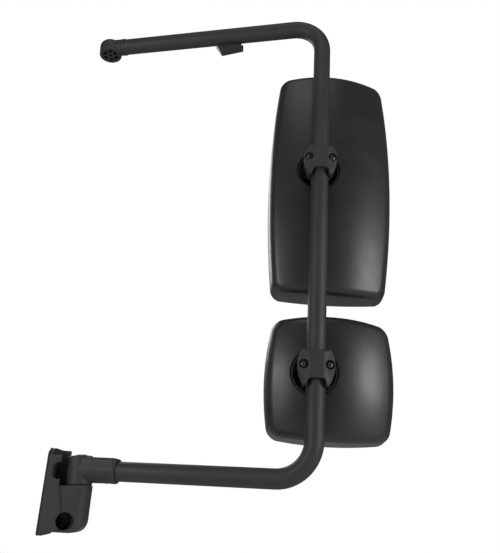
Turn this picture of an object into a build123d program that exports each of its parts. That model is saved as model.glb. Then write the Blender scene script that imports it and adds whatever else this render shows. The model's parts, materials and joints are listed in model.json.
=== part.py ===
from build123d import *
import os
from math import asin, atan2, cos, degrees, radians, sin

# Truck door towing mirror: a folding C-loop of bent tube that carries a tall main
# head and, under it, a square wide-angle head.
# Frame: +X outboard from the door, +Y towards the glass side, +Z up along the pole.
# The origin is midway between the two door bolt holes, on the gasket's door face.
# All lengths are in millimetres.

# ---------------------------------------------------------------- the tube loop
TUBE_R = 15.0
TUBE_WALL = 2.0
PIVOT_X = 46.5  # fold axis, out from the door, at the height of the lower arm
ARM_Z = 40.0  # lower arm's centreline
ARM_REACH = 366.6  # pole to fold axis along the lower arm
BOSS_REACH = 430.1  # pole to fold axis along the upper arm
LOOP_HEIGHT = 820.0
LOOP_TURN = 11.7  # the loop's plane swings forward of square to the door
LOWER_BEND_R = 57.0
UPPER_BEND_R = 56.0
POLE_X = PIVOT_X + ARM_REACH * cos(radians(LOOP_TURN))
POLE_Y = -ARM_REACH * sin(radians(LOOP_TURN))
FOLD_LEAN = degrees(atan2(BOSS_REACH - ARM_REACH, LOOP_HEIGHT))  # follows the door

# ---------------------------------------------------------------- fits and gaps
RUN_GAP = 0.05  # radial clearance of a running fit
SEAM = 0.5  # gap between two castings that turn on each other

# ---------------------------------------------------------------- door bracket
GASKET_T = 2.0
FLANGE_T = 6.0
BOLT_SPACING = 72.0
DOOR_BOLT_R = 4.5  # clearance hole for an M8 bolt
BLOCK_HALF = 20.5
BLOCK_END_R = 22.5
BLOCK_BOTTOM_Z = -52.0
BOLT_HEAD_ROOM_R = 10.5
POCKET_R = 12.5
POCKET_X = 39.0  # middle of the pocket's mouth, out from the door
POCKET_TURN = 60.0
UPPER_BITE_X = 20.0

# ---------------------------------------------------------------- fold knuckle
BARREL_R = 19.8
BARREL_BELOW = 23.5
BARREL_ABOVE = 20.5
SOCKET_R = 18.9
SOCKET_END = 63.5  # along the arm from the fold axis
TUBE_START = 30.0
PIVOT_R = 6.0
BUSH_R = 9.0
PIVOT_HEAD_R = 10.0
PIVOT_DEPTH = 52.0

# ---------------------------------------------------------------- upper boss
BOSS_R = 21.8
BOSS_BELOW = 18.0  # from the arm's centreline down to the boss's lower face
BOSS_ABOVE = 12.5
BOSS_DOME_R = 12.0
PLUG_R = 18.0
PLUG_T = 14.0
PLUG_BORE_R = 3.25
TUBE_END = 27.0  # tube's end, along the arm from the fold axis

# ---------------------------------------------------------------- pole clamps
CLAMP_W = 57.5
CLAMP_H = 57.0
CLAMP_REACH = 21.5
REAR_SCALE = 0.85
LINER_T = 1.2
CLAMP_SPLIT = 0.75
CLAMP_SCREW_X = 20.0
CLAMP_SCREW_Z = 4.0
CLAMP_SCREW_R = 2.5
CLAMP_HOLE_R = 2.55

# ---------------------------------------------------------------- tilt swivels
SWIVEL_Y = 50.0
SWIVEL_BARREL_R = 11.0
SWIVEL_PIN_R = 4.0
DISH_R = 37.0
DISH_WALL = 3.0
DISH_FLOOR_Y = 62.0
DISH_FLOOR_T = 4.0
PLATE_T = 2.0

# ---------------------------------------------------------------- heads
SHELL_T = 2.5
BEZEL_T = 4.0
GLASS_T = 3.0
CARRIER_T = 3.0

# The two heads. swivel_z is up from the lower arm. offset is from the swivel, on the
# pole's centreline, to the head's centre, across and up. bow is how far the sides and
# the ends stand out at their middles. crown is the radius of the domed back across
# and along the head, and ridge how far its highest line lies inboard of mid-width.
HEADS = {
    "main": dict(
        swivel_z=525.5, offset=(25.2, -4.5), width=223.0, height=442.0,
        bow=(13.5, 5.0), corner=18.0, back_y=20.5, crown=(215.0, 1700.0), ridge=17.0,
        edge=13.0, rim_y=104.0, glass_curve=0.0, post=(60.0, 120.0),
    ),
    "lower": dict(
        swivel_z=164.0, offset=(28.5, -3.5), width=213.0, height=205.0,
        bow=(9.5, 7.5), corner=18.0, back_y=18.5, crown=(185.0, 420.0), ridge=10.0,
        edge=13.0, rim_y=102.0, glass_curve=1500.0, post=(55.0, 55.0),
    ),
}

# the loop's own frame: the pole on Z, both arms running off along -X
LOOP = Location((POLE_X, POLE_Y, 0), (0, 0, -LOOP_TURN))
# each arm's own frame: local +X runs from the fold axis out along the arm
LOWER_ARM = LOOP * Location((-ARM_REACH, 0, ARM_Z))
UPPER_ARM = LOOP * Location((-BOSS_REACH, 0, ARM_Z + LOOP_HEIGHT))
FOLD = LOWER_ARM * Location((0, 0, 0), (0, -FOLD_LEAN, 0))
BOSS = UPPER_ARM * Location((0, 0, 0), (0, -FOLD_LEAN, 0))


def rod(radius, start, end):
    """A round bar between two points."""
    a, b = Vector(*start), Vector(*end)
    plane = Plane(origin=a, z_dir=b - a)
    return extrude(plane * Circle(radius), amount=(b - a).length)


def ring(outer, inner, z0, z1):
    """A plain ring round Z."""
    both = Circle(outer) - Circle(inner)
    return extrude(Plane.XY.offset(z0) * both, amount=z1 - z0)


def slab(x0, x1, y0, y1, z0, z1):
    """A box by its faces."""
    middle = Location(((x0 + x1) / 2, (y0 + y1) / 2, (z0 + z1) / 2))
    return middle * Box(x1 - x0, y1 - y0, z1 - z0)


# ================================================================ door bracket
def flange_outline():
    """The flange's outline seen from outboard: local x is Y, local y is Z."""
    points = [(-25, -58), (31, -56), (31, 70), (-14, 70), (-25, 62)]
    face = make_face(Polyline(*points, close=True))
    return fillet(face.vertices(), 5.0)


def door_holes(radius, x0, x1):
    """The two door bolt holes, through everything between two planes."""
    half = BOLT_SPACING / 2
    return [rod(radius, (x0, 0, z), (x1, 0, z)) for z in (half, -half)]


def door_gasket():
    pad = extrude(Plane.YZ * flange_outline(), amount=GASKET_T)
    return pad - door_holes(DOOR_BOLT_R, -1, GASKET_T + 1)


def lower_pocket():
    """Round pocket in the block's near side that gives a spanner room at the bolt."""
    mouth = Vector(POCKET_X, -BLOCK_HALF, -BOLT_SPACING / 2)
    way = Vector(cos(radians(POCKET_TURN)), -sin(radians(POCKET_TURN)), 0)
    return rod(POCKET_R, mouth - way * 24, mouth + way * 40)


def upper_bite():
    """Tall round bite in the near wall, level with the upper bolt."""
    bite = Pos(UPPER_BITE_X, 0, BOLT_SPACING / 2) * Rot(90, 0, 0) * Cylinder(12, 60)
    return bite & slab(UPPER_BITE_X - 9, UPPER_BITE_X + 12, -30, -5, 0, 60)


def near_web():
    """Web along the flange's near edge, wider towards the block."""
    back = GASKET_T
    points = [(back, BLOCK_BOTTOM_Z - 4), (back, 60), (21, 59), (23, 16), (31, -24), (32, -50)]
    face = make_face(Polyline(*points, close=True))
    return Pos(0, -18, 0) * extrude(Plane.XZ * face, amount=7)


def door_bracket():
    back = GASKET_T
    flange = extrude(Plane.YZ.offset(back) * flange_outline(), amount=FLANGE_T)
    foot = Plane.XY.offset(BLOCK_BOTTOM_Z)
    plan = Rectangle(PIVOT_X - back, 2 * BLOCK_HALF, align=(Align.MIN, Align.CENTER))
    plan = Pos(back, 0) * plan + Pos(PIVOT_X, 0) * Circle(BLOCK_END_R)
    block = extrude(foot * plan, amount=ARM_Z - BLOCK_BOTTOM_Z)
    block = block & block_side_view()
    above = FOLD * slab(-90, 90, -60, 60, -BARREL_BELOW - SEAM, 90)
    block = block - above
    far_wall = slab(back, back + 21, 18, 25, BLOCK_BOTTOM_Z + 8, ARM_Z + 29)
    body = flange + block + near_web() + far_wall
    body = body - FOLD * rod(BARREL_R + SEAM, (0, 0, -BARREL_BELOW - SEAM), (0, 0, 60))
    body = body - lower_pocket() - upper_bite()
    for z in (-BOLT_SPACING / 2, BOLT_SPACING / 2):
        body = body - rod(BOLT_HEAD_ROOM_R, (back + FLANGE_T, 0, z), (back + FLANGE_T + 18, 0, z))
    body = body - door_holes(DOOR_BOLT_R, -1, 30)
    pivot_hole = rod(PIVOT_R, (0, 0, -PIVOT_DEPTH - 2), (0, 0, 0))
    return body - FOLD * pivot_hole


def block_side_view():
    """The block from the side: its lower outboard corner is well rounded."""
    end = PIVOT_X + BLOCK_END_R
    face = make_face(Polyline((-5, -80), (-5, 80), (end + 5, 80), (end + 5, -80), close=True))
    side = Pos((end - 5) / 2, 20) * RectangleRounded(end + 5, 2 * (20 - BLOCK_BOTTOM_Z), 11)
    return extrude(Plane.XZ * (face & side), amount=60, both=True)


# ================================================================ fold pivot
def pivot_bolt():
    shank = rod(PIVOT_R, (0, 0, -PIVOT_DEPTH), (0, 0, 14))
    head = rod(PIVOT_HEAD_R, (0, 0, 13.8), (0, 0, BARREL_ABOVE + 2))
    crown = fillet(head.edges().filter_by(GeomType.CIRCLE).group_by(Axis.Z)[-1], 2.0)
    socket = Pos(0, 0, 18) * extrude(RegularPolygon(4, 6), amount=10)
    return FOLD * (shank + crown - socket)


def thrust_washer():
    return FOLD * ring(PIVOT_HEAD_R, PIVOT_R, 8.3, 9.8)


def disc_springs():
    """Two coned spring washers back to back, between the washer and the bolt head."""
    lean = 0.8
    springs = []
    for base, way in ((9.8, 1), (13.8, -1)):
        inner, outer = PIVOT_R + 0.1, PIVOT_HEAD_R - 0.3
        points = [
            (outer, base),
            (outer, base + way * 1.2),
            (inner, base + way * (1.2 + lean)),
            (inner, base + way * lean),
        ]
        section = make_face(Polyline(*points, close=True))
        springs.append(FOLD * revolve(Plane.XZ * section, axis=Axis.Z))
    return Compound(children=springs)


def pivot_bushes():
    lower = FOLD * ring(BUSH_R, PIVOT_R + RUN_GAP, -BARREL_BELOW, -9)
    upper = FOLD * ring(BUSH_R, PIVOT_R + RUN_GAP, -5, 8)
    return Compound(children=[lower, upper])


def knuckle():
    barrel = rod(BARREL_R, (0, 0, -BARREL_BELOW), (0, 0, BARREL_ABOVE))
    barrel = fillet(barrel.edges().group_by(Axis.Z)[-1], 2.5)
    socket = rod(SOCKET_R, (0, 0, 0), (SOCKET_END, 0, 0))
    socket = fillet(socket.edges().group_by(Axis.X)[-1], 2.0)
    web = slab(0, SOCKET_END - 1, -17, 17, -13, SOCKET_R + 0.5)
    web = fillet(web.edges().filter_by(Axis.X).group_by(Axis.Z)[-1], 7)
    body = FOLD * barrel + LOWER_ARM * (socket + web)
    bore = rod(BUSH_R, (0, 0, -40), (0, 0, 40))
    head_room = rod(PIVOT_HEAD_R + 1.5, (0, 0, 8), (0, 0, 40))
    body = body - FOLD * (bore + head_room)
    body = body - LOWER_ARM * rod(TUBE_R + 0.03, (TUBE_START, 0, 0), (SOCKET_END + 1, 0, 0))
    return body - socket_screw_holes()


SCREW_XS = (40.0, 52.0)


def socket_screw_holes():
    return [
        LOWER_ARM * rod(3.0, (x, 0, -SOCKET_R - 1), (x, 0, -TUBE_R + 2)) for x in SCREW_XS
    ]


def socket_screws():
    """Two grub screws under the socket that hold the tube in the knuckle."""
    screws = []
    low = -SOCKET_R + 0.6
    for x in SCREW_XS:
        screw = rod(3.0, (x, 0, low), (x, 0, -TUBE_R))
        key = Pos(x, 0, low - 0.1) * extrude(RegularPolygon(1.5, 6), amount=2.0)
        screws.append(LOWER_ARM * (screw - key))
    return Compound(children=screws)


# ================================================================ tube loop
def loop_tube():
    top = ARM_Z + LOOP_HEIGHT
    corners = [
        (-ARM_REACH + TUBE_START, 0, ARM_Z),
        (0, 0, ARM_Z),
        (0, 0, top),
        (-BOSS_REACH + TUBE_END, 0, top),
    ]
    path = FilletPolyline(*corners, radius=[LOWER_BEND_R, UPPER_BEND_R])
    section = Circle(TUBE_R) - Circle(TUBE_R - TUBE_WALL)
    start = Plane(origin=corners[0], z_dir=(1, 0, 0))
    return LOOP * sweep(start * section, path=path)


# ================================================================ upper boss
def upper_boss():
    barrel = rod(BOSS_R, (0, 0, -BOSS_BELOW), (0, 0, BOSS_ABOVE))
    barrel = fillet(barrel.edges().group_by(Axis.Z)[-1], BOSS_DOME_R)
    barrel = fillet(barrel.edges().group_by(Axis.Z)[0], 1.0)
    neck = rod(TUBE_R + 0.8, (0, 0, 0), (TUBE_END, 0, 0))
    spigot = rod(TUBE_R - TUBE_WALL, (TUBE_END - 1, 0, 0), (TUBE_END + 30, 0, 0))
    body = BOSS * barrel + UPPER_ARM * (neck + spigot)
    seat = rod(PLUG_R, (0, 0, -BOSS_BELOW - 1), (0, 0, -BOSS_BELOW + PLUG_T))
    tip_room = rod(PLUG_BORE_R + 1, (0, 0, -BOSS_BELOW), (0, 0, 8))
    return body - BOSS * (seat + tip_room)


def boss_collar():
    band = rod(TUBE_R + 1.2, (TUBE_END, 0, 0), (TUBE_END + 6, 0, 0))
    return UPPER_ARM * (band - rod(TUBE_R, (TUBE_END - 1, 0, 0), (TUBE_END + 7, 0, 0)))


def boss_plug():
    """Ribbed plug in the boss's lower end, with the hole for the upper pivot bolt."""
    low = -BOSS_BELOW + 0.6
    high = -BOSS_BELOW + PLUG_T
    body = ring(PLUG_R, PLUG_BORE_R, low, high)
    slots = ring(15.0, 8.0, low - 1, high - 3)
    ribs = [Rot(0, 0, 60 * i + 15) * slab(5, 16, -1.5, 1.5, low - 2, high) for i in range(6)]
    return BOSS * (body - (slots - ribs))


# ================================================================ lead clip
CLIP_FROM = 222.0
CLIP_LENGTH = 50.0
CLIP_DEPTH = 12.5
CLIP_WALL = 2.2
CLIP_NEAR_Y = 2.0
CLIP_WIDTH = 20.0


def tube_clip():
    """Thin channel riveted under the upper arm, closed at its lower side."""
    middle = Pos(CLIP_FROM + CLIP_LENGTH / 2, 0, 0)
    tube = rod(TUBE_R, (-CLIP_LENGTH, 0, 0), (CLIP_LENGTH, 0, 0))
    return UPPER_ARM * middle * (clip_block(0) - clip_block(CLIP_WALL) - tube)


def clip_block(inset):
    half = CLIP_LENGTH / 2
    low = -TUBE_R - CLIP_DEPTH + inset
    points = [(-half - 6, -6), (half, -6), (half + 1, low + 6), (-half + 8, low)]
    face = make_face(Polyline(*points, close=True))
    near = Plane.XZ.offset(-CLIP_NEAR_Y - inset)
    return extrude(near * face, amount=-(CLIP_WIDTH - 2 * inset))


# ================================================================ pole clamps
def clamp_outline(scale):
    """A shield: flat top, sides bulged at the screws, narrower foot."""
    half_w, half_h = scale * CLAMP_W / 2, scale * CLAMP_H / 2
    top, foot = scale * 22.0, scale * 19.5
    sides = [
        Spline((way * foot, -half_h), (way * half_w, CLAMP_SCREW_Z), (way * top, half_h))
        for way in (-1, 1)
    ]
    ends = [Line((top, half_h), (-top, half_h)), Line((-foot, -half_h), (foot, -half_h))]
    return make_face(sides + ends)


def clamp_half(front):
    """The outer form of one clamp half, in the head's frame, with the pole on Z."""
    side = 1 if front else -1
    scale = 1.0 if front else REAR_SCALE
    shield = extrude(Plane.XZ * clamp_outline(scale), amount=side * 40)
    half_h = CLAMP_H / 2
    profile = [
        (-side * CLAMP_SPLIT, -half_h),
        (-side * (CLAMP_REACH - 9), -half_h),
        (-side * (CLAMP_REACH - 1.5), -half_h + 12),
        (-side * CLAMP_REACH, -half_h + 16),
        (-side * CLAMP_REACH, half_h - 3),
        (-side * (CLAMP_REACH - 3), half_h),
        (-side * CLAMP_SPLIT, half_h),
    ]
    wedge = extrude(Plane.YZ * make_face(Polyline(*profile, close=True)), amount=40, both=True)
    plan = RectangleRounded(CLAMP_W, CLAMP_REACH + 26, 13)
    plan = Pos(0, side * (13 - CLAMP_REACH / 2)) * plan
    column = extrude(plan, amount=half_h, both=True)
    return shield & wedge & column


def clamp_bore():
    return Cylinder(TUBE_R + RUN_GAP + LINER_T, 2 * CLAMP_H)


def cap_arch():
    """The arch that leaves the pole bare between the cap's two feet."""
    side = [(14.2, -40), (14.2, -23), (10, -17.2)]
    points = side + [(-x, z) for x, z in reversed(side)]
    return make_face(Polyline(*points, close=True))


def clamp_cap():
    body = clamp_half(True)
    body = body - clamp_bore() - extrude(Plane.XZ * cap_arch(), amount=40)
    for x in (-CLAMP_SCREW_X, CLAMP_SCREW_X):
        body = body - rod(6.5, (x, -40, CLAMP_SCREW_Z), (x, -12, CLAMP_SCREW_Z))
        body = body - rod(CLAMP_HOLE_R, (x, -40, CLAMP_SCREW_Z), (x, 5, CLAMP_SCREW_Z))
    return body


def clamp_saddle():
    """Rear clamp half with the neck and barrel that the head tilts on."""
    body = clamp_half(False)
    neck = slab(-11, 11, 14, SWIVEL_Y, -10, 10)
    barrel = rod(SWIVEL_BARREL_R, (-14, SWIVEL_Y, 0), (14, SWIVEL_Y, 0))
    body = body + neck + barrel - clamp_bore()
    body = body - rod(SWIVEL_PIN_R + RUN_GAP, (-20, SWIVEL_Y, 0), (20, SWIVEL_Y, 0))
    for x in (-CLAMP_SCREW_X, CLAMP_SCREW_X):
        body = body - rod(CLAMP_HOLE_R, (x, -5, CLAMP_SCREW_Z), (x, 40, CLAMP_SCREW_Z))
        pocket = Plane(origin=(x, 12, CLAMP_SCREW_Z), z_dir=(0, 1, 0)) * RegularPolygon(4.4, 6)
        body = body - extrude(pocket, amount=20)
    return body


def clamp_liner():
    """Split rubber sleeve that grips the pole inside the clamp."""
    sleeve = ring(TUBE_R + RUN_GAP + LINER_T, TUBE_R + RUN_GAP, -20, 20)
    return sleeve - slab(-20, 0, -CLAMP_SPLIT, CLAMP_SPLIT, -30, 30)


def clamp_screws():
    screws = []
    for x in (-CLAMP_SCREW_X, CLAMP_SCREW_X):
        head = rod(5.4, (x, -16.4, CLAMP_SCREW_Z), (x, -12, CLAMP_SCREW_Z))
        head = fillet(head.edges().group_by(Axis.Y)[0], 1.6)
        cross = Pos(x, -16.4, CLAMP_SCREW_Z) * (Rot(0, 30, 0) * (Box(6, 3, 1.3) + Box(1.3, 3, 6)))
        shank = rod(CLAMP_SCREW_R, (x, -12.5, CLAMP_SCREW_Z), (x, 16.5, CLAMP_SCREW_Z))
        screws.append(head + shank - cross)
    return Compound(children=screws)


def clamp_nuts():
    nuts = []
    for x in (-CLAMP_SCREW_X, CLAMP_SCREW_X):
        seat = Plane(origin=(x, 12, CLAMP_SCREW_Z), z_dir=(0, 1, 0))
        blank = extrude(seat * (RegularPolygon(4.3, 6) - Circle(CLAMP_SCREW_R)), amount=4.5)
        nuts.append(blank)
    return Compound(children=nuts)


# ================================================================ tilt swivels
def swivel_dish(head):
    """Round dish in the housing's back, with the two ears of the tilt hinge."""
    toward_glass = Plane(origin=(0, head["back_y"], 0), z_dir=(0, 1, 0))
    depth = DISH_FLOOR_Y + DISH_FLOOR_T - head["back_y"]
    body = extrude(toward_glass * Circle(DISH_R), amount=depth)
    body = body - extrude(toward_glass * Circle(DISH_R - DISH_WALL), amount=depth - DISH_FLOOR_T)
    for side in (-1, 1):
        x0, x1 = sorted((side * 15.8, side * 21.8))
        ear = slab(x0, x1, SWIVEL_Y, DISH_FLOOR_Y + 1, -8, 8)
        ear = ear + rod(8, (x0, SWIVEL_Y, 0), (x1, SWIVEL_Y, 0))
        body = body + ear
    body = body - rod(SWIVEL_PIN_R, (-40, SWIVEL_Y, 0), (DISH_R - DISH_WALL, SWIVEL_Y, 0))
    for x, z in DISH_SCREWS:
        body = body - rod(2.5, (x, DISH_FLOOR_Y - 1, z), (x, 80, z))
    return body & head_form(head, SHELL_T + 0.3, head["rim_y"])


DISH_SCREWS = [(x, z) for x in (-16.0, 16.0) for z in (-18.0, 18.0)]


def swivel_pin():
    return rod(SWIVEL_PIN_R, (-24.5, SWIVEL_Y, 0), (24.5, SWIVEL_Y, 0))


def swivel_washers():
    """Friction washers between the saddle's barrel and the dish's ears."""
    washers = []
    for side in (-1, 1):
        x0, x1 = sorted((side * 14.4, side * 15.8))
        disc = rod(9, (x0, SWIVEL_Y, 0), (x1, SWIVEL_Y, 0))
        washers.append(disc - rod(SWIVEL_PIN_R, (-30, SWIVEL_Y, 0), (30, SWIVEL_Y, 0)))
    return Compound(children=washers)


# ================================================================ heads
def head_outline(head, inset=0.0):
    """The head's face: four bowed sides and rounded corners, on the XZ plane."""
    half_w = head["width"] / 2 - inset
    half_h = head["height"] / 2 - inset
    side, end = head["bow"]
    x, z = half_w - side, half_h - end
    corners = [(x, z), (-x, z), (-x, -z), (x, -z)]
    middles = [(0, half_h), (-half_w, 0), (0, -half_h), (half_w, 0)]
    sides = [
        ThreePointArc(corners[i], middles[i], corners[(i + 1) % 4]) for i in range(4)
    ]
    face = make_face(sides)
    face = fillet(face.vertices(), head["corner"] - inset)
    return Pos(*head["offset"]) * face


def head_column(head, inset, y0, y1):
    """The outline carried straight from one depth to another."""
    plane = Plane(origin=(0, y0, 0), x_dir=(1, 0, 0), z_dir=(0, -1, 0))
    return extrude(plane * head_outline(head, inset), amount=-(y1 - y0))


def head_form(head, inset, mouth_y):
    """Solid form of a housing: domed back, rounded edges, straight mouth."""
    across, along = head["crown"]
    dz = head["offset"][1]
    ridge = head["offset"][0] - head["ridge"]
    apex = head["back_y"] + inset
    reach = head["width"] / 2 + head["ridge"] + 4
    sag = across - (across**2 - reach**2) ** 0.5
    arc = ThreePointArc((ridge - reach, apex + sag), (ridge, apex), (ridge + reach, apex + sag))
    wall = head["rim_y"] + 12
    closing = Polyline((ridge + reach, apex + sag), (ridge + reach, wall), (ridge - reach, wall),
                       (ridge - reach, apex + sag))
    profile = make_face([arc, closing])
    turn = 2 * degrees(asin(0.58 * head["height"] / (along - wall + apex)))
    spin = Axis((ridge, apex + along, dz), (1, 0, 0))
    profile = Pos(0, 0, dz) * profile
    barrel = revolve(profile.rotate(spin, -turn / 2), axis=spin, revolution_arc=turn)
    block = head_column(head, inset, 0, mouth_y) & barrel
    round_back = [
        edge
        for edge in block.edges()
        if edge.center().Y < mouth_y - 1 and not runs_along_y(edge)
    ]
    return fillet(round_back, head["edge"] - inset)


def runs_along_y(edge):
    box = edge.bounding_box()
    return box.size.Y > max(box.size.X, box.size.Z)


def plate_posts(head):
    x, z = head["post"]
    dx, dz = head["offset"]
    return [(dx + i * x, dz + k * z) for i in (-1, 1) for k in (-1, 1)]


def housing(head):
    mouth = head["rim_y"] - BEZEL_T
    outer = head_form(head, 0.0, mouth)
    inner = head_form(head, SHELL_T, mouth + 10)
    shell = outer - inner
    posts = [rod(5, (x, 20, z), (x, PLATE_Y, z)) for x, z in plate_posts(head)]
    for post in posts:
        shell = shell + (post & outer)
    drafted = Cone(DISH_R, DISH_R + 0.2, 60)
    shell = shell - Pos(0, 25, 0) * Rot(-90, 0, 0) * drafted
    for x, z in plate_posts(head):
        shell = shell - rod(2.03, (x, PLATE_Y - 12, z), (x, PLATE_Y + 1, z))
    return shell


PLATE_Y = DISH_FLOOR_Y + DISH_FLOOR_T


def mounting_plate(head):
    x, z = head["post"]
    dx, dz = head["offset"]
    plane = Plane(origin=(dx, PLATE_Y, dz), x_dir=(1, 0, 0), z_dir=(0, -1, 0))
    body = extrude(plane * RectangleRounded(2 * x + 20, 2 * z + 20, 8), amount=-PLATE_T)
    for px, pz in plate_posts(head):
        body = body - rod(2, (px, PLATE_Y - 1, pz), (px, PLATE_Y + 9, pz))
    for px, pz in DISH_SCREWS:
        body = body - rod(2.5, (px, PLATE_Y - 1, pz), (px, PLATE_Y + 9, pz))
    return body


def head_screws(places, radius, length):
    """Pan head screws driven from the glass side through the mounting plate."""
    face = PLATE_Y + PLATE_T
    screws = []
    for x, z in places:
        shank = rod(radius, (x, face - length, z), (x, face + 1, z))
        cap = rod(2 * radius, (x, face, z), (x, face + 2.4, z))
        screws.append(shank + cap)
    return Compound(children=screws)


def glass_layer(head, inset, near, far):
    """A layer parallel to the glass, between two depths under its outer face."""
    front = head["rim_y"] - BEZEL_T
    curve = head["glass_curve"]
    if not curve:
        return head_column(head, inset, front - far, front - near)
    dx, dz = head["offset"]
    dome = Pos(dx, front - curve, dz) * (Sphere(curve - near) - Sphere(curve - far))
    return head_column(head, inset, front - 40, front) & dome


def glass(head):
    return glass_layer(head, SHELL_T + 1.5, 0.0, GLASS_T)


def backing_plate(head):
    """Carrier behind the glass, with four legs down to the mounting plate."""
    under = GLASS_T + CARRIER_T
    body = glass_layer(head, SHELL_T + 1.5, GLASS_T, under)
    dx, dz = head["offset"]
    x, z = head["post"]
    top = head["rim_y"] - BEZEL_T - GLASS_T - 1
    legs = [
        rod(4.5, (dx + i * (x - 16), PLATE_Y + PLATE_T, dz + k * (z - 16)),
            (dx + i * (x - 16), top, dz + k * (z - 16)))
        for i in (-1, 1)
        for k in (-1, 1)
    ]
    return body + [leg - glass_layer(head, 0.0, -20.0, GLASS_T) for leg in legs]


def bezel(head):
    mouth = head["rim_y"] - BEZEL_T
    frame = head_column(head, 0.0, mouth, head["rim_y"])
    frame = frame - head_column(head, 8.0, mouth - 1, head["rim_y"] + 1)
    lip = frame.faces().sort_by(Axis.Y)[-1].edges()
    return fillet(lip, 1.2)


# ================================================================ the whole part
def base_parts():
    return {
        "door_bracket": door_bracket(),
        "door_gasket": door_gasket(),
        "pivot_bolt": pivot_bolt(),
        "thrust_washer": thrust_washer(),
        "disc_springs": disc_springs(),
    }


def arm_parts():
    return {
        "fold_knuckle": knuckle(),
        "pivot_bushes": pivot_bushes(),
        "socket_screws": socket_screws(),
        "loop_tube": loop_tube(),
        "upper_boss": upper_boss(),
        "boss_collar": boss_collar(),
        "boss_plug": boss_plug(),
        "tube_clip": tube_clip(),
    }


def head_parts(name, head):
    place = Location((POLE_X, POLE_Y, ARM_Z + head["swivel_z"]))
    made = {
        "clamp_cap": clamp_cap(),
        "clamp_saddle": clamp_saddle(),
        "clamp_liner": clamp_liner(),
        "clamp_screws": clamp_screws(),
        "clamp_nuts": clamp_nuts(),
        "swivel_dish": swivel_dish(head),
        "swivel_pin": swivel_pin(),
        "swivel_washers": swivel_washers(),
        "housing": housing(head),
        "mounting_plate": mounting_plate(head),
        "plate_screws": head_screws(plate_posts(head), 2.0, 10.0),
        "dish_screws": head_screws(DISH_SCREWS, 2.5, 5.5),
        "backing_plate": backing_plate(head),
        "glass": glass(head),
        "bezel": bezel(head),
    }
    return {f"{name}_{part}": place * solid for part, solid in made.items()}


def main():
    os.makedirs("parts", exist_ok=True)
    parts = {**base_parts(), **arm_parts()}
    for name, head in HEADS.items():
        parts.update(head_parts(name, head))
    for name, solid in parts.items():
        export_step(solid, f"parts/{name}.step")


main()
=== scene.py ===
import json
from math import atan2, cos, hypot, pi, radians, sin, sqrt

import bmesh
import bpy
from mathutils import Matrix, Vector


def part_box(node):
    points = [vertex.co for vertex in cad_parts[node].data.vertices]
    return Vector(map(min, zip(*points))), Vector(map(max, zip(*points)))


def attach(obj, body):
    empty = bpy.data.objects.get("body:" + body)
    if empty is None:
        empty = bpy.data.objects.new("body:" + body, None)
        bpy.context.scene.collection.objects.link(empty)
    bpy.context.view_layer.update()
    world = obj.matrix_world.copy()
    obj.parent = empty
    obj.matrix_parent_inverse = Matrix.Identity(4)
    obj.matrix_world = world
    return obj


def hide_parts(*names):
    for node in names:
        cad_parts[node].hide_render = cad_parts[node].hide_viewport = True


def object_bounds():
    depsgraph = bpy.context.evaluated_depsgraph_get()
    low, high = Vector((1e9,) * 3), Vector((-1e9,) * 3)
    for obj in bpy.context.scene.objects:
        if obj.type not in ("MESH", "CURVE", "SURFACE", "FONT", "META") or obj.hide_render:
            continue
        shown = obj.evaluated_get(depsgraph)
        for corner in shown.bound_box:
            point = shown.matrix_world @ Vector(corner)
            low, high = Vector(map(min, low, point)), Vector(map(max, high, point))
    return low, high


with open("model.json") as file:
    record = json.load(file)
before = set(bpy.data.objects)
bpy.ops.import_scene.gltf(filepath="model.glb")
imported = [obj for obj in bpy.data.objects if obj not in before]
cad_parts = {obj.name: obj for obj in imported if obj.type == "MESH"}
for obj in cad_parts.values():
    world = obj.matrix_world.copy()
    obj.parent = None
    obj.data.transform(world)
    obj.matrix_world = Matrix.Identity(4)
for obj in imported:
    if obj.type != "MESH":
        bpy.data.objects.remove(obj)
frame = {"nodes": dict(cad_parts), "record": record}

# A truck door towing mirror. Shapes are written in millimetres in the frame of the part
# they belong to, and put in place by that frame's matrix, whose offsets are in metres.
CAD_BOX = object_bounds()
MM = 0.001
RECORD = frame["record"]
JOINT = {joint["name"]: joint for joint in RECORD["behaviour"]["joints"]}

# ------------------------------------------------------------------ driving sizes
TUBE_R = 15.0
TUBE_START = 30.0  # where the lower arm's tube begins, out from the fold axis
TUBE_END = 27.0  # where the upper arm's tube ends, out from the fold axis
LOWER_BEND_R = 57.0
UPPER_BEND_R = 56.0

BARREL_R = 19.8
BARREL_BELOW = 23.5
BARREL_ABOVE = 20.5
SOCKET_R = 18.9
SOCKET_END = 63.5
SEAM = 0.5  # running gap between the knuckle and the bracket
PIVOT_WELL_R = 11.5
PIVOT_BORE_R = 9.0
WEB_HALF_W = 17.0
WEB_LOW = -13.0
GRUB_R = 3.1
GRUB_X = (40.0, 52.0)

BOSS_R = 21.8
BOSS_BELOW = 18.0
BOSS_ABOVE = 12.5
BOSS_DOME_R = 12.0
PLUG_R = 18.0
PLUG_T = 14.0
PLUG_BORE_R = 3.25
PLUG_RIBS = 6

CLIP_FROM = 222.0  # out from the fold axis, along the upper arm
CLIP_LENGTH = 50.0
CLIP_DEPTH = 12.5
CLIP_SIDES = (2.0, 22.0)
CLIP_WALL = 1.8

GASKET_T = 2.0
FLANGE_T = 6.0
PIVOT_X = 46.5  # fold axis, out from the door
BLOCK_HALF_W = 20.5
BLOCK_END_R = 22.5
BLOCK_LOW = -52.0
BLOCK_CORNER_R = 24.0
BOLT_Z = 36.0  # the door bolts lie this far above and below the middle
BOLT_HOLE_R = 4.5
BOLT_ROOM_R = 10.5
POCKET_R = 12.5  # the lower spanner pocket, which is cut in at a slant
POCKET_X = 39.0
POCKET_TURN = 60.0
BITE_R = 12.0  # the upper pocket, a bite out of the near wall
BITE_X = 20.0

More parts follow.
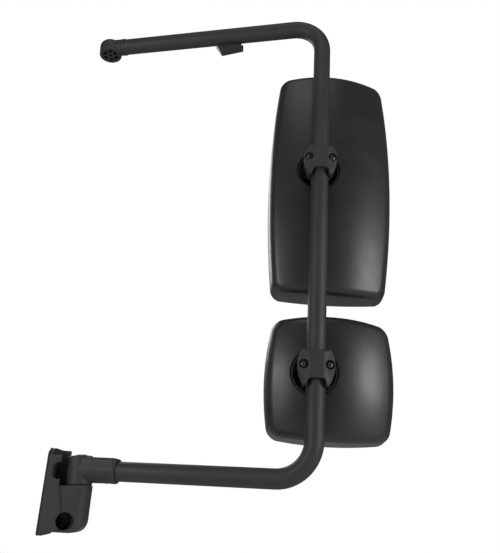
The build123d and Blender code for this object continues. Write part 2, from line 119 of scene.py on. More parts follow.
CLAMP_W = 57.5
CLAMP_H = 57.0
CLAMP_REACH = 21.5
CLAMP_BORE_R = 16.25
CLAMP_SCREW_X = 20.0
CLAMP_SCREW_Z = 4.0
SCREW_WELL_R = 7.2
SCREW_WELL_FLOOR = -12.0
SCREW_HOLE_R = 2.6
SCREW_R = 2.5

DISH_R = 37.0
SHELL_T = 2.5
SHELL_DRAFT = 1.2
BEZEL_T = 4.0

# Each head: how far its sides and ends bow out, its corners' radius, the back's radii
# across and along, how far the back's ridge lies off centre, the radius of the edge round
# the back, and the glass's radius, which is 0 where the glass is flat.
HEADS = {
    "main": dict(
        bow=(13.5, 5.0), corner=18.0, crown=(215.0, 1700.0), ridge=17.0, edge=13.0, curve=0.0),
    "lower": dict(
        bow=(9.5, 7.5), corner=18.0, crown=(185.0, 420.0), ridge=10.0, edge=13.0, curve=1500.0),
}

# The camera: its place in metres, its right and up directions, lens and sensor in mm.
CAMERA_PLACE = (0.31592, -1.04279, -0.0093)
CAMERA_RIGHT = (0.998457, 0.0, 0.055536)
CAMERA_UP = (-0.052055, -0.348453, 0.93588)
LENS = 41.49
SENSOR = 36.0

# Soft lamps: place in metres, width and height, watts. All aim at the middle.
LAMP_AIM = (0.4, 0.0, 0.42)
LAMPS = {
    "right": ((1.75, -0.93, 0.52), (0.5, 0.55), 15),
    "left": ((-0.84, -1.1, 0.48), (0.45, 0.55), 9),
    "top": ((0.2, -0.9, 2.0), (1.0, 0.8), 5),
    "back": ((-1.0, 1.8, 1.5), (1.1, 1.1), 22),
}
SURROUNDINGS = 0.12  # how much light the surroundings themselves give
FLOOR_X = (-2000, 2800)
FLOOR_Y = (-2400, 2400)
FLOOR_Z = -260
FLOOR_GLOW = 0.5  # keeps the floor pale for the eye, and lights nothing

# ------------------------------------------------------------------ frames of the parts
FOLD_POINT = Vector(JOINT["arm_fold"]["pos_m"])
FOLD_AXIS = Vector(JOINT["arm_fold"]["axis"])
POLE = Vector(JOINT["main_pan"]["pos_m"])
LOOP_TURN = atan2(FOLD_POINT.y - POLE.y, POLE.x - FOLD_POINT.x)
LOOP = Matrix.Translation((POLE.x, POLE.y, 0)) @ Matrix.Rotation(-LOOP_TURN, 4, "Z")
TOP_Z = CAD_BOX[1][2] - TUBE_R * MM
ARM_X = Vector((cos(LOOP_TURN), -sin(LOOP_TURN), 0))


def turned(origin, x_dir, z_dir):
    """A frame at origin with local X and Z near those directions."""
    z = z_dir.normalized()
    y = z.cross(x_dir).normalized()
    x = y.cross(z)
    return Matrix.Translation(origin) @ Matrix((x, y, z)).transposed().to_4x4()


BOSS_POINT = FOLD_POINT + FOLD_AXIS * ((TOP_Z - FOLD_POINT.z) / FOLD_AXIS.z)
UP = Vector((0, 0, 1))
LOWER_ARM = turned(FOLD_POINT, ARM_X, UP)
UPPER_ARM = turned(BOSS_POINT, ARM_X, UP)
FOLD = turned(FOLD_POINT, ARM_X, FOLD_AXIS)
BOSS = turned(BOSS_POINT, ARM_X, FOLD_AXIS)
DOOR = Matrix.Identity(4)
ARM_REACH = (POLE.xy - FOLD_POINT.xy).length / MM
BOSS_REACH = (POLE.xy - BOSS_POINT.xy).length / MM
LOOP_HEIGHT = TOP_Z / MM - FOLD_POINT.z / MM


def head_frame(head):
    pan = Vector(JOINT[head + "_pan"]["pos_m"])
    return Matrix.Translation(pan)


# ------------------------------------------------------------------ camera and light
def camera():
    data = bpy.data.cameras.new("camera")
    data.lens = LENS
    data.sensor_width = SENSOR
    data.sensor_fit = "AUTO"
    data.clip_start = 0.05
    data.clip_end = 60.0
    cam = bpy.data.objects.new("camera", data)
    right = Vector(CAMERA_RIGHT)
    up = Vector(CAMERA_UP)
    back = right.cross(up)
    cam.matrix_world = (
        Matrix.Translation(CAMERA_PLACE)
        @ Matrix((right, up, back)).transposed().to_4x4()
    )
    bpy.context.collection.objects.link(cam)
    bpy.context.scene.camera = cam


def area_light(name, place, size, power):
    data = bpy.data.lights.new(name, "AREA")
    data.shape = "RECTANGLE"
    data.size, data.size_y = size
    data.energy = power
    lamp = bpy.data.objects.new(name, data)
    way = Vector(LAMP_AIM) - Vector(place)
    lamp.location = place
    lamp.rotation_euler = way.to_track_quat("-Z", "Y").to_euler()
    bpy.context.collection.objects.link(lamp)


def studio():
    """White surroundings for the eye, dim ones for the light, and soft lamps."""
    world = bpy.data.worlds.new("studio")
    bpy.context.scene.world = world
    world.use_nodes = True
    tree = world.node_tree
    seen = tree.nodes["Background"]
    seen.inputs["Color"].default_value = (1, 1, 1, 1)
    seen.inputs["Strength"].default_value = 1.0
    dim = tree.nodes.new("ShaderNodeBackground")
    dim.inputs["Color"].default_value = (1, 1, 1, 1)
    dim.inputs["Strength"].default_value = SURROUNDINGS
    path = tree.nodes.new("ShaderNodeLightPath")
    mix = tree.nodes.new("ShaderNodeMixShader")
    tree.links.new(path.outputs["Is Camera Ray"], mix.inputs["Fac"])
    tree.links.new(dim.outputs["Background"], mix.inputs[1])
    tree.links.new(seen.outputs["Background"], mix.inputs[2])
    tree.links.new(mix.outputs["Shader"], tree.nodes["World Output"].inputs["Surface"])
    for name, (place, size, power) in LAMPS.items():
        area_light(name, place, size, power)
    bpy.context.scene.view_settings.view_transform = "Standard"


# ------------------------------------------------------------------ materials
class Graph:
    """Short calls for building one material's node tree."""

    def __init__(self, name):
        self.material = bpy.data.materials.new(name)
        self.material.use_nodes = True
        self.tree = self.material.node_tree
        self.shader = self.tree.nodes["Principled BSDF"]
        place = self.tree.nodes.new("ShaderNodeTexCoord")
        self.place = place.outputs["Object"]

    def set(self, **values):
        for name, value in values.items():
            self.shader.inputs[name.replace("_", " ")].default_value = value

    def noise(self, scale, detail=3.0, rough=0.55, stretch=None):
        node = self.tree.nodes.new("ShaderNodeTexNoise")
        node.inputs["Scale"].default_value = scale
        node.inputs["Detail"].default_value = detail
        node.inputs["Roughness"].default_value = rough
        source = self.place
        if stretch:
            mapping = self.tree.nodes.new("ShaderNodeMapping")
            mapping.inputs["Scale"].default_value = stretch
            self.tree.links.new(self.place, mapping.inputs["Vector"])
            source = mapping.outputs["Vector"]
        self.tree.links.new(source, node.inputs["Vector"])
        return node.outputs["Fac"]

    def ramp(self, fac, low, high, start=0.3, end=0.7):
        node = self.tree.nodes.new("ShaderNodeMapRange")
        node.inputs["From Min"].default_value = start
        node.inputs["From Max"].default_value = end
        node.inputs["To Min"].default_value = low
        node.inputs["To Max"].default_value = high
        self.tree.links.new(fac, node.inputs["Value"])
        return node.outputs["Result"]

    def mix(self, fac, first, second):
        node = self.tree.nodes.new("ShaderNodeMix")
        node.data_type = "RGBA"
        self.tree.links.new(fac, node.inputs["Factor"])
        for socket, value in (("A", first), ("B", second)):
            target = [s for s in node.inputs if s.name == socket and s.type == "RGBA"][0]
            if isinstance(value, tuple):
                target.default_value = (*value, 1.0)
            else:
                self.tree.links.new(value, target)
        return [s for s in node.outputs if s.type == "RGBA"][0]

    def link(self, output, name):
        self.tree.links.new(output, self.shader.inputs[name])

    def bump(self, height, strength, distance, under=None):
        node = self.tree.nodes.new("ShaderNodeBump")
        node.inputs["Strength"].default_value = strength
        node.inputs["Distance"].default_value = distance
        self.tree.links.new(height, node.inputs["Height"])
        if under is not None:
            self.tree.links.new(under, node.inputs["Normal"])
        return node.outputs["Normal"]


def black_finish(name, dark, light, grain, depth, rough):
    """Black coating or moulding: fine grain, cloudy tone, and uneven sheen."""
    marks = 0.04
    g = Graph(name)
    cloud = g.noise(9.0, 4.0)
    speck = g.noise(340.0, 2.0)
    tone = g.mix(g.ramp(cloud, 0.0, 1.0), dark, light)
    dusty = tuple(c * 1.5 + 0.004 for c in light)
    g.link(g.mix(g.ramp(speck, 0.0, 0.3, 0.62, 0.8), tone, dusty), "Base Color")
    g.link(g.ramp(g.noise(26.0, 5.0), rough - marks, rough + marks), "Roughness")
    fine = g.bump(g.noise(grain, 2.0), 0.35, depth * MM)
    g.link(g.bump(g.noise(60.0, 3.0), 0.15, 0.06 * MM, fine), "Normal")
    return g.material


def metal_finish(name, color, worn, rough):
    """Plated or plain metal, a little worn, with fine brushing that stretches its sheen."""
    g = Graph(name)
    g.set(Metallic=1.0)
    g.link(g.mix(g.ramp(g.noise(120.0, 4.0), 0.0, 1.0), color, worn), "Base Color")
    brushed = g.noise(500.0, 3.0, stretch=(1.0, 1.0, 0.08))
    g.link(g.ramp(brushed, rough - 0.06, rough + 0.1), "Roughness")
    g.link(g.bump(brushed, 0.2, 0.03 * MM), "Normal")
    return g.material


def mirror_finish(name):
    """Silvered glass with a faint haze of dust."""
    g = Graph(name)
    g.set(Metallic=1.0)
    silver = g.mix(g.ramp(g.noise(4.0), 0.0, 1.0), (0.86, 0.88, 0.9), (0.9, 0.91, 0.92))
    g.link(silver, "Base Color")
    g.link(g.ramp(g.noise(70.0, 6.0), 0.01, 0.035, 0.55, 0.8), "Roughness")
    return g.material


# Black finishes: dark tone, light tone, fineness of the grain, its depth in mm, roughness.
BLACKS = {
    "cast_black": ((0.017, 0.017, 0.019), (0.026, 0.026, 0.028), 1500.0, 0.12, 0.6),
    "tube_black": ((0.017, 0.017, 0.019), (0.026, 0.026, 0.028), 1300.0, 0.09, 0.58),
    "plug_plastic": ((0.012, 0.012, 0.012), (0.020, 0.020, 0.020), 1700.0, 0.08, 0.55),
    "rubber_black": ((0.010, 0.010, 0.010), (0.018, 0.018, 0.018), 900.0, 0.12, 0.75),
    "housing_plastic": ((0.013, 0.013, 0.014), (0.020, 0.020, 0.021), 1400.0, 0.06, 0.4),
    "bezel_plastic": ((0.013, 0.013, 0.014), (0.019, 0.019, 0.020), 1600.0, 0.06, 0.4),
    # The dish's near-black tone is painted shade for the deep, unlit well round the clamp, darker
    # than its plastic really is.
    "dish_plastic": ((0.004, 0.004, 0.004), (0.007, 0.007, 0.007), 1600.0, 0.06, 0.75),
    "carrier_plastic": ((0.016, 0.016, 0.017), (0.024, 0.024, 0.025), 1200.0, 0.1, 0.55),
}


def make_materials():
    made = {slot: black_finish(slot, *look) for slot, look in BLACKS.items()}
    made["zinc_steel"] = metal_finish("zinc_steel", (0.15, 0.15, 0.145), (0.10, 0.10, 0.095), 0.4)
    made["bronze"] = metal_finish("bronze", (0.52, 0.36, 0.16), (0.4, 0.27, 0.12), 0.4)
    made["mirror_glass"] = mirror_finish("mirror_glass")
    return made


MATERIALS = make_materials()
SLOT_OF = {entry["node"]: entry["material_slot"] for entry in RECORD["subparts"]}


def dress_nodes():
    """The CAD nodes that stay shown take their slot's finish and a fine edge break."""
    for node, obj in frame["nodes"].items():
        obj.data.materials.clear()
        obj.data.materials.append(MATERIALS[SLOT_OF[node]])
        edge = obj.modifiers.new("edge", "BEVEL")
        edge.width = 0.3 * MM
        edge.segments = 2
        edge.limit_method = "ANGLE"
        edge.angle_limit = radians(35)


# ------------------------------------------------------------------ mesh kit
def mesh_object(name, points, faces, matrix):
    """A mesh from points in millimetres in that frame."""
    mesh = bpy.data.meshes.new(name)
    mesh.from_pydata([matrix @ (Vector(p) * MM) for p in points], [], faces)
    mesh.update()
    obj = bpy.data.objects.new(name, mesh)
    bpy.context.collection.objects.link(obj)
    return obj


def tidy_normals(obj):
    """Welds points that coincide and turns every face outward."""
    bm = bmesh.new()
    bm.from_mesh(obj.data)
    bmesh.ops.remove_doubles(bm, verts=bm.verts, dist=1e-6)
    bmesh.ops.recalc_face_normals(bm, faces=bm.faces)
    bm.to_mesh(obj.data)
    bm.free()


def shade(obj, angle):
    """Smooth faces, with edges sharper than the angle kept crisp."""
    bm = bmesh.new()
    bm.from_mesh(obj.data)
    for face in bm.faces:
        face.smooth = True
    for edge in bm.edges:
        edge.smooth = edge.calc_face_angle(0.0) < radians(angle)
    bm.to_mesh(obj.data)
    bm.free()


def settle(obj):
    """Turns the object's modifiers into its mesh."""
    graph = bpy.context.evaluated_depsgraph_get()
    mesh = bpy.data.meshes.new_from_object(obj.evaluated_get(graph))
    old = obj.data
    obj.modifiers.clear()
    obj.data = mesh
    bpy.data.meshes.remove(old)


def combine(obj, others, operation):
    """Adds or cuts other solids, and removes them from the scene."""
    for other in others:
        step = obj.modifiers.new("step", "BOOLEAN")
        step.operation = operation
        step.solver = "EXACT"
        step.object = other
    settle(obj)
    for other in others:
        bpy.data.objects.remove(other)


def piece(obj, body, slot, nodes=(), angle=35.0, clean=True):
    """Finishes a visible piece: its shading, material, body and what it stands for."""
    if clean:
        tidy_normals(obj)
    shade(obj, angle)
    obj.data.materials.clear()
    obj.data.materials.append(MATERIALS[slot])
    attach(obj, body)
    if nodes:
        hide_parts(*nodes)
    return obj


def rounded(obj, width, segments, angle):
    """Rounds every edge that turns by more than the angle."""
    edge = obj.modifiers.new("round", "BEVEL")
    edge.width = width * MM
    edge.segments = segments
    edge.limit_method = "ANGLE"
    edge.angle_limit = radians(angle)
    edge.miter_outer = "MITER_ARC"
    settle(obj)


def cast_skin(obj, voxel, passes):
    """Melts a solid's inside corners and edges as sand casting and coating do."""
    skin = obj.modifiers.new("skin", "REMESH")
    skin.mode = "VOXEL"
    skin.voxel_size = voxel * MM
    skin.use_smooth_shade = True
    soft = obj.modifiers.new("soft", "SMOOTH")
    soft.factor = 0.5
    soft.iterations = passes
    settle(obj)


def grid_faces(rings, count):
    """Quads between closed rings of points that all have the same count."""
    faces = []
    for r in range(rings - 1):
        for i in range(count):
            j = (i + 1) % count
            a, b = r * count, (r + 1) * count
            faces.append((a + i, a + j, b + j, b + i))
    return faces


def loft(name, rings, matrix, caps=True, wrap=False):
    """A skin over closed rings, capped at both ends, or wrapped into a closed band."""
    count = len(rings[0])
    points = [p for ring in rings for p in ring]
    faces = grid_faces(len(rings), count)
    if wrap:
        base = (len(rings) - 1) * count
        faces += [(base + i, base + (i + 1) % count, (i + 1) % count, i) for i in range(count)]
    elif caps:
        faces.append(tuple(range(count)))
        faces.append(tuple(len(points) - 1 - i for i in range(count)))
    obj = mesh_object(name, points, faces, matrix)
    tidy_normals(obj)
    return obj


def lathe(name, profile, matrix, axis="Z", center=(0, 0, 0), count=64):
    """A turned solid. The profile lists (radius, height) from one end to the other."""
    rings = []
    for radius, height in profile:
        r = max(radius, 0.001)
        ring = []
        for i in range(count):
            t = 2 * pi * i / count
            a, b = r * cos(t), r * sin(t)
            p = {"Z": (a, b, height), "Y": (a, height, b), "X": (height, a, b)}[axis]
            ring.append(tuple(p[k] + center[k] for k in range(3)))
        rings.append(ring)
    return loft(name, rings, matrix)


def bar(name, radius, low, high, matrix, axis="Z", center=(0, 0, 0), count=64):
    """A plain round bar, mostly used as a cutter."""
    return lathe(name, [(radius, low), (radius, high)], matrix, axis, center, count)


def prism(name, outline, low, high, matrix, axis="Y"):
    """An outline carried between two depths. For Y the outline is (x, z), for X it is
    (y, z), and for Z it is (x, y)."""
    def at(u, v, d):
        return {"Y": (u, d, v), "X": (d, u, v), "Z": (u, v, d)}[axis]

    return loft(name, [[at(u, v, d) for u, v in outline] for d in (low, high)], matrix)


def block(name, x, y, z, matrix):
    """A straight block between two values on each axis."""
    outline = [(x[0], z[0]), (x[1], z[0]), (x[1], z[1]), (x[0], z[1])]
    return prism(name, outline, y[0], y[1], matrix)


def arc_points(cx, cy, radius, start, end, steps):
    """Points of an arc between two angles in degrees, both ends included."""
    found = []
    for i in range(steps + 1):
        t = radians(start + (end - start) * i / steps)
        found.append((cx + radius * cos(t), cy + radius * sin(t)))
    return found


def round_corners(points, radius, steps=6):
    """An outline with every corner rounded, clockwise or not."""
    found = []
    count = len(points)
    for i in range(count):
        before, here, after = (Vector(points[(i + k) % count]) for k in (-1, 0, 1))
        a, b = (before - here), (after - here)
        reach = min(radius, a.length * 0.45, b.length * 0.45)
        p, q = here + a.normalized() * reach, here + b.normalized() * reach
        for k in range(steps + 1):
            t = k / steps
            found.append(tuple(p * (1 - t) ** 2 + here * 2 * t * (1 - t) + q * t ** 2))
    return found


# ------------------------------------------------------------------ tube loop
BEND_STEPS = 28
AROUND_TUBE = 72


def loop_path():
    """Centreline points of the bent tube in the loop's frame, from the lower end up."""
    low, high = FOLD_POINT.z / MM, FOLD_POINT.z / MM + LOOP_HEIGHT
    corners = [
        Vector((-ARM_REACH + TUBE_START, 0, low)),
        Vector((0, 0, low)),
        Vector((0, 0, high)),
        Vector((-BOSS_REACH + TUBE_END, 0, high)),
    ]
    points = [corners[0]]
    for i, bend in ((1, LOWER_BEND_R), (2, UPPER_BEND_R)):
        a = (corners[i] - corners[i - 1]).normalized()
        b = (corners[i + 1] - corners[i]).normalized()
        center = corners[i] - a * bend + b * bend
        for k in range(BEND_STEPS + 1):
            t = pi / 2 * k / BEND_STEPS
            points.append(center - b * bend * cos(t) + a * bend * sin(t))
    points.append(corners[3])
    return points


def loop_tube():
    """Lower arm, pole and upper arm, bent from one tube."""
    path = loop_path()
    rings = []
    for i, here in enumerate(path):
        before = path[max(i - 1, 0)]
        after = path[min(i + 1, len(path) - 1)]
        tangent = (after - before).normalized()
        side = Vector((0, 1, 0))
        across = side.cross(tangent)
        ring = []
        for k in range(AROUND_TUBE):
            t = 2 * pi * k / AROUND_TUBE
            ring.append(tuple(here + (side * cos(t) + across * sin(t)) * TUBE_R))
        rings.append(ring)
    return piece(loft("tube_loop", rings, LOOP), "arm", "tube_black", ["loop_tube"])


# ------------------------------------------------------------------ fold knuckle
def fold_knuckle():
    """Barrel that turns on the bracket, and the socket that takes the lower arm."""
    barrel = lathe("knuckle", [
        (BARREL_R - 1.0, -BARREL_BELOW), (BARREL_R, -BARREL_BELOW + 1.0),
        (BARREL_R, BARREL_ABOVE - 2.5), (BARREL_R - 0.8, BARREL_ABOVE - 0.8),
        (BARREL_R - 2.5, BARREL_ABOVE)], FOLD)
    socket = lathe("socket", [
        (SOCKET_R, 0.0), (SOCKET_R, SOCKET_END - 2.0), (SOCKET_R - 0.6, SOCKET_END - 0.6),
        (SOCKET_R - 2.0, SOCKET_END)], LOWER_ARM, axis="X")
    sides = (-WEB_HALF_W, WEB_HALF_W)
    web = block("web", (0, SOCKET_END), sides, (WEB_LOW, SOCKET_R + 0.4), LOWER_ARM)
    rounded(web, 6.0, 5, 30)
    combine(barrel, [socket, web], "UNION")
    cuts = [
        bar("well", PIVOT_WELL_R, 8.0, 40.0, FOLD),
        bar("bore", PIVOT_BORE_R, -40.0, 40.0, FOLD),
        bar("mouth", TUBE_R + 0.25, TUBE_START - 0.5, SOCKET_END + 2.0, LOWER_ARM, axis="X"),
    ]
    cuts += [
        bar("grub", GRUB_R, -SOCKET_R - 2.0, -TUBE_R + 1.0, LOWER_ARM, center=(x, 0, 0), count=24)
        for x in GRUB_X
    ]
    combine(barrel, cuts, "DIFFERENCE")
    cast_skin(barrel, 0.7, 3)
    return piece(barrel, "arm", "cast_black", ["fold_knuckle"], angle=80, clean=False)


# ------------------------------------------------------------------ upper boss
def upper_boss():
    """Domed boss on the upper arm's end, hollow underneath for the plug."""
    dome = arc_points(BOSS_R - BOSS_DOME_R, BOSS_ABOVE - BOSS_DOME_R, BOSS_DOME_R, 0, 90, 12)
    profile = [(BOSS_R - 1.0, -BOSS_BELOW), (BOSS_R, -BOSS_BELOW + 1.0)] + dome + [(0, BOSS_ABOVE)]
    boss = lathe("boss", profile, BOSS)
    neck = bar("neck", TUBE_R + 0.8, 0.0, TUBE_END, UPPER_ARM, axis="X")
    combine(boss, [neck], "UNION")
    seat = bar("seat", PLUG_R + 0.2, -BOSS_BELOW - 2.0, -BOSS_BELOW + PLUG_T, BOSS)
    combine(boss, [seat], "DIFFERENCE")
    cast_skin(boss, 0.7, 3)
    return piece(boss, "arm", "cast_black", ["upper_boss"], angle=80, clean=False)


def boss_plug():
    """Ribbed plug: a rim, a hub with the pivot hole, and ribs between them."""
    low, high = -BOSS_BELOW + 0.6, -BOSS_BELOW + PLUG_T
    plug = bar("plug", PLUG_R, low, high, BOSS)
    gap = bar("gap", 15.0, low - 1, high - 3, BOSS)
    combine(gap, [bar("hub", 8.0, low - 2, high, BOSS)], "DIFFERENCE")
    ribs = []
    for i in range(PLUG_RIBS):
        spin = BOSS @ Matrix.Rotation(radians(360 / PLUG_RIBS * i + 15), 4, "Z")
        ribs.append(block("rib", (5, 16), (-1.5, 1.5), (low - 2, high + 1), spin))
    combine(gap, ribs, "DIFFERENCE")
    hole = bar("hole", PLUG_BORE_R, low - 2, high + 2, BOSS, count=32)
    combine(plug, [gap, hole], "DIFFERENCE")
    rounded(plug, 0.35, 2, 40)
    return piece(plug, "arm", "plug_plastic", ["boss_plug"])


def boss_collar():
    """Narrow band where the tube enters the boss."""
    r = TUBE_R + 1.2
    collar = lathe("collar", [
        (TUBE_R, TUBE_END), (r - 0.4, TUBE_END), (r, TUBE_END + 0.5), (r, TUBE_END + 5.4),
        (r - 0.5, TUBE_END + 6), (TUBE_R, TUBE_END + 6)], UPPER_ARM, axis="X")
    return piece(collar, "arm", "tube_black", ["boss_collar"])


# ------------------------------------------------------------------ tube clip
def tube_clip():
    """Thin pressed channel under the upper arm, open at its far end."""
    half = CLIP_LENGTH / 2
    low = -TUBE_R - CLIP_DEPTH
    near, far = CLIP_SIDES
    middle = UPPER_ARM @ Matrix.Translation(((CLIP_FROM + half) * MM, 0, 0))
    outline = [(-half - 6, -6), (half, -6), (half + 1, low + 6), (-half + 8, low)]
    clip = prism("clip", outline, near, far, middle)
    rounded(clip, 1.6, 4, 30)
    inner = [(-half - 4, -4), (half + 6, -4), (half + 6, low + 8.2), (-half + 9, low + 2.0)]
    hollow = prism("hollow", inner, near + CLIP_WALL, far - CLIP_WALL, middle)
    tube = bar("tube", TUBE_R + 0.02, -60, 60, middle, axis="X")
    combine(clip, [hollow, tube], "DIFFERENCE")
    return piece(clip, "arm", "tube_black", ["tube_clip"])


# ------------------------------------------------------------------ door bracket
def bracket_block():
    """The block under the knuckle: round outboard, flat on top, lower corner rounded."""
    back, end = GASKET_T, PIVOT_X + BLOCK_END_R
    plan = [(back, -BLOCK_HALF_W)]
    plan += arc_points(PIVOT_X, 0, BLOCK_END_R, -66, 66, 20)
    plan += [(back, BLOCK_HALF_W)]
    column = prism("column", plan, BLOCK_LOW, 60, DOOR, axis="Z")
    side = [(-5, 80), (-5, BLOCK_LOW)]
    side += arc_points(end - BLOCK_CORNER_R, BLOCK_LOW + BLOCK_CORNER_R, BLOCK_CORNER_R, -90, 0, 12)
    side += [(end, 80)]
    combine(column, [prism("side", side, -40, 40, DOOR)], "INTERSECT")
    above = block("above", (-90, 90), (-60, 60), (-BARREL_BELOW - SEAM, 120), FOLD)
    combine(column, [above], "DIFFERENCE")
    return column


def bracket_walls():
    """The two walls beside the knuckle, the near one sloped."""
    back = GASKET_T
    near = [(back, -56), (back, 60), (21, 59), (23, 16), (31, -24), (32, -50)]
    return [
        prism("web", near, -25, -18, DOOR),
        block("far", (back, back + 21), (18, 25), (-44, 69), DOOR),
    ]


def bracket_cuts():
    """Room for the barrel, the two spanner pockets, and the door bolts' holes."""
    bite = bar("bite", BITE_R, -30, -5, DOOR, axis="Y", center=(BITE_X, 0, BOLT_Z), count=48)
    reach = block("reach", (BITE_X - 9, BITE_X + BITE_R), (-31, -4), (0, 60), DOOR)
    combine(bite, [reach], "INTERSECT")
    mouth = Vector((POCKET_X, -BLOCK_HALF_W, -BOLT_Z)) * MM
    way = Vector((cos(radians(POCKET_TURN)), -sin(radians(POCKET_TURN)), 0))
    cuts = [
        bar("pocket", BARREL_R + SEAM, -BARREL_BELOW - SEAM, 60, FOLD),
        bar("scoop", POCKET_R, -24, 40, turned(mouth, UP, way)),
        bite,
    ]
    face = GASKET_T + FLANGE_T
    for z in (-BOLT_Z, BOLT_Z):
        cuts.append(bar("room", BOLT_ROOM_R, face, face + 18, DOOR, axis="X", center=(0, 0, z)))
        cuts.append(bar("bolt", BOLT_HOLE_R, -2, 40, DOOR, axis="X", center=(0, 0, z), count=32))
    return cuts


def door_bracket():
    """Flange against the door, with the pivot block and its two walls."""
    outline = round_corners([(-25, -58), (31, -56), (31, 70), (-14, 70), (-25, 62)], 6)
    body = prism("bracket", outline, GASKET_T, GASKET_T + FLANGE_T, DOOR, axis="X")
    column = bracket_block()
    combine(body, [column] + bracket_walls(), "UNION")
    combine(body, bracket_cuts(), "DIFFERENCE")
    cast_skin(body, 0.9, 3)
    return piece(body, "bracket", "cast_black", ["door_bracket"], angle=80, clean=False)


# ------------------------------------------------------------------ pole clamps
def shield(scale, inset):
    """The clamp's front outline: flat top, bulged sides, narrower foot. It is narrowed by
    the scale and moved in by the inset."""
    top, foot, half_w, half_h = 22.0, 19.5, CLAMP_W / 2, CLAMP_H / 2
    bulge = 1.9
    steps = 20
    right = []
    for i in range(steps + 1):
        z = -half_h + CLAMP_H * i / steps
        if z < CLAMP_SCREW_Z:
            t = (CLAMP_SCREW_Z - z) / (CLAMP_SCREW_Z + half_h)
            x = half_w - (half_w - foot) * t ** bulge
        else:
            t = (z - CLAMP_SCREW_Z) / (half_h - CLAMP_SCREW_Z)
            x = half_w - (half_w - top) * t ** bulge
        right.append(((x - inset) * scale, z * (1 - inset / half_h)))
    return right + [(-x, z) for x, z in reversed(right)]


def cap_face(x):
    """Depth of the cap's front: a round back over the pole, flat cheeks at the screws."""
    back_half, slope_w, cheek_drop, crown_drop = 9.0, 12.0, 3.6, 2.0
    t = min(max((abs(x) - back_half) / slope_w, 0.0), 1.0)
    return -CLAMP_REACH + cheek_drop * t * t * (3 - 2 * t) + (x / CLAMP_W) ** 2 * crown_drop


def clamp_cap(head):
    """Front half of the clamp, with an arch over the pole and a well for each screw."""
    place = head_frame(head)
    rings = [[(x, -0.75, z) for x, z in shield(1, 0)]]
    for inset, back in ((0.0, 4.2), (0.5, 2.4), (1.6, 1.0), (3.2, 0.3), (5.0, 0.0)):
        rings.append([(x, cap_face(x) + back, z) for x, z in shield(1, inset)])
    for scale in (0.75, 0.6, 0.45, 0.3, 0.15, 0.03):
        rings.append([(x, cap_face(x), z) for x, z in shield(scale, 5.0)])
    cap = loft(head + "_cap", rings, place)
    side = [(14.2, -40), (14.2, -22.5), (13.2, -20.0), (11.0, -17.8), (8.0, -16.9)]
    arch = side + [(-x, z) for x, z in reversed(side)]
    cuts = [
        prism("arch", arch, -40, 0, place),
        bar("bore", CLAMP_BORE_R, -60, 60, place),
    ]
    for x in (-CLAMP_SCREW_X, CLAMP_SCREW_X):
        center = (x, 0, CLAMP_SCREW_Z)
        cuts.append(bar("well", SCREW_WELL_R, -40, SCREW_WELL_FLOOR, place, axis="Y", center=center))
        cuts.append(bar("hole", SCREW_HOLE_R, -40, 5, place, axis="Y", center=center, count=24))
    combine(cap, cuts, "DIFFERENCE")
    cast_skin(cap, 0.55, 3)
    return piece(cap, head + "_clamp", "cast_black", [head + "_clamp_cap"], angle=80, clean=False)


def clamp_screws(head):
    """Pan head screws with a cross recess, two to a clamp."""
    place = head_frame(head)
    seat = SCREW_WELL_FLOOR - 0.4
    profile = [(SCREW_R, 16.5), (SCREW_R, seat), (5.0, seat), (5.2, seat - 0.6), (5.1, seat - 1.8),
               (4.3, seat - 3.2), (2.8, seat - 4.1), (0, seat - 4.5)]
    long, short, deep = (-3.2, 3.2), (-0.65, 0.65), (-18, -13.8)
    for number, x in enumerate((-CLAMP_SCREW_X, CLAMP_SCREW_X), 1):
        screw = lathe(f"{head}_clamp_screw_{number}", profile, place, axis="Y",
                      center=(x, 0, CLAMP_SCREW_Z), count=48)
        spin = place @ Matrix.Translation((x * MM, 0, CLAMP_SCREW_Z * MM))
        spin = spin @ Matrix.Rotation(radians(35), 4, "Y")
        cuts = [block("slot", long, deep, short, spin), block("slot", short, deep, long, spin)]
        combine(screw, cuts, "DIFFERENCE")
        rounded(screw, 0.12, 2, 40)
        piece(screw, head + "_clamp", "zinc_steel")
    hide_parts(head + "_clamp_screws")


